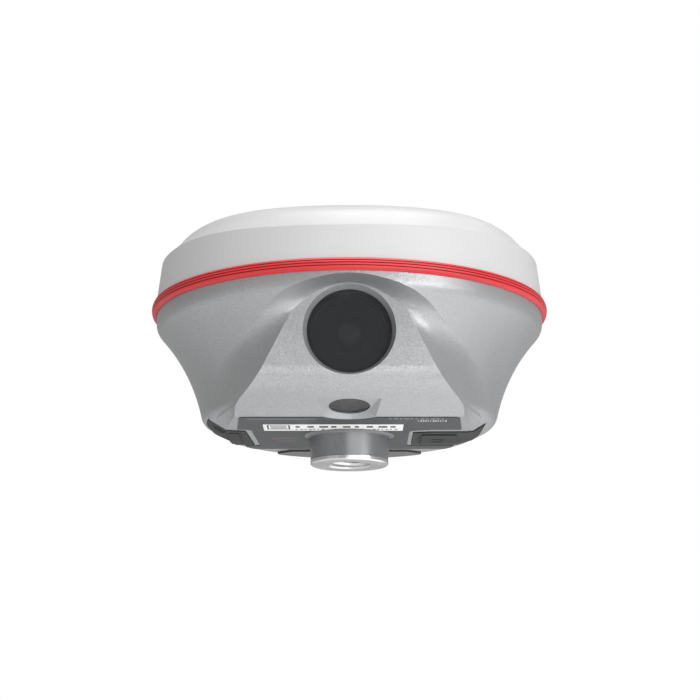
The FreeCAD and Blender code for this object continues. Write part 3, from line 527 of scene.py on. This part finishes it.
sticker_marks = ruled_box(-30.6, -22.1, -24.6, -16.1, 3) + dashes(-20.0, 18.8, -16.6, -15.4, 1.6, 3)
sticker_marks += dashes(-20.0, 18.8, -22.6, -19.6, 4.4, 2)
marks("sticker_marks", "rating_sticker", sticker_marks, PRINT_HEIGHT, INK, ROOT)

label_marks = dashes(14.5, 35.0, -37.0, -36.2, 1.9, 3) + dashes(25.0, 35.5, -34.4, -30.8, 0.9, 4)
label_marks += bar(-37.0, -12.0, -36.2, -35.8)
for low, high in ((3.0, 3.25), (9.6, 9.85)):
    label_marks += bar(-28.0, -21.0, low, high)
marks("label_marks", "label_plate", label_marks, PRINT_HEIGHT, PALE, ROOT)
label_dot = ring_outline(-29.2, 3.4, 0.8, 0.75, 20)
marks("label_dot", "label_plate", label_dot, PRINT_HEIGHT, RED_INK, ROOT)

right_marks = box_outline(31.6, 36.4, 3.0, 8.7, 0.7)
marks("right_cover_mark", "right_port_flap", right_marks, MOULDED_HEIGHT, MATERIALS["cover_rubber"],
      "right_flap")
left_marks = ring_outline(-49.5, -5.0, 2.4, 0.6) + bar(-49.8, -49.2, -5.0, 0.2)
marks("left_cover_mark", "left_port_flap", left_marks, MOULDED_HEIGHT, MATERIALS["cover_rubber"],
      "left_flap")


# ---------------------------------------------------------------- studio and camera
WHITE = (1.0, 1.0, 1.0, 1.0)
FLOOR_Z = -0.32
FLOOR_HALF = 6.0
CAMERA_SPOT = (0.0, -0.649, -0.1049)
CAMERA_PITCH = 90.0 + 13.03


def area_light(name, spot, target, size, power):
    data = bpy.data.lights.new(name, "AREA")
    data.shape = "RECTANGLE"
    data.size, data.size_y = size
    data.energy = power
    lamp = bpy.data.objects.new(name, data)
    lamp.location = spot
    lamp.rotation_euler = (Vector(target) - Vector(spot)).to_track_quat("-Z", "Y").to_euler()
    lamp.visible_camera = False
    bpy.context.scene.collection.objects.link(lamp)


def studio():
    world = bpy.data.worlds.new("studio")
    bpy.context.scene.world = world
    world.use_nodes = True
    tree = world.node_tree
    soft = tree.nodes["Background"]
    soft.inputs["Color"].default_value = WHITE
    soft.inputs["Strength"].default_value = 0.40
    white = tree.nodes.new("ShaderNodeBackground")
    white.inputs["Color"].default_value = WHITE
    white.inputs["Strength"].default_value = 1.0
    path = tree.nodes.new("ShaderNodeLightPath")
    mix = tree.nodes.new("ShaderNodeMixShader")
    tree.links.new(path.outputs["Is Camera Ray"], mix.inputs[0])
    tree.links.new(soft.outputs[0], mix.inputs[1])
    tree.links.new(white.outputs[0], mix.inputs[2])
    tree.links.new(mix.outputs[0], tree.nodes["World Output"].inputs["Surface"])

    middle = (0.0, 0.0, 0.05)
    area_light("key", (0.95, -0.85, 0.30), middle, (0.5, 0.7), 5.0)
    area_light("fill", (-0.9, -0.8, 0.0), middle, (0.8, 0.8), 0.4)
    area_light("top", (0.1, -0.3, 1.1), middle, (1.0, 1.0), 13.0)
    # Low enough that the upright front window does not mirror it to the camera.
    area_light("front", (0.45, -1.2, -0.05), middle, (1.2, 0.5), 5.0)
    area_light("under", (0.05, 0.0, -0.31), middle, (0.8, 0.8), 1.0)


def floor():
    """A pale floor well below the object, which hangs as if on its pole."""
    mesh = bpy.data.meshes.new("floor")
    signs = ((-1, -1), (1, -1), (1, 1), (-1, 1))
    corners = [(FLOOR_HALF * a, FLOOR_HALF * b, FLOOR_Z) for a, b in signs]
    mesh.from_pydata(corners, [], [(0, 1, 2, 3)])
    s = Shader("floor_paint", (0.90, 0.90, 0.90), 0.7)
    mesh.materials.append(s.drift(0.01, 3.0).rough_drift(0.03, 5.0).done())
    obj = bpy.data.objects.new("floor", mesh)
    bpy.context.scene.collection.objects.link(obj)


def camera():
    data = bpy.data.cameras.new("camera")
    data.lens = 88.3
    data.sensor_width = 36.0
    data.shift_x = 0.00086
    data.clip_start = 0.01
    obj = bpy.data.objects.new("camera", data)
    obj.location = CAMERA_SPOT
    obj.rotation_euler = (math.radians(CAMERA_PITCH), 0.0, 0.0)
    bpy.context.scene.collection.objects.link(obj)
    bpy.context.scene.camera = obj
    bpy.context.scene.view_settings.view_transform = "Standard"


studio()
floor()
camera()
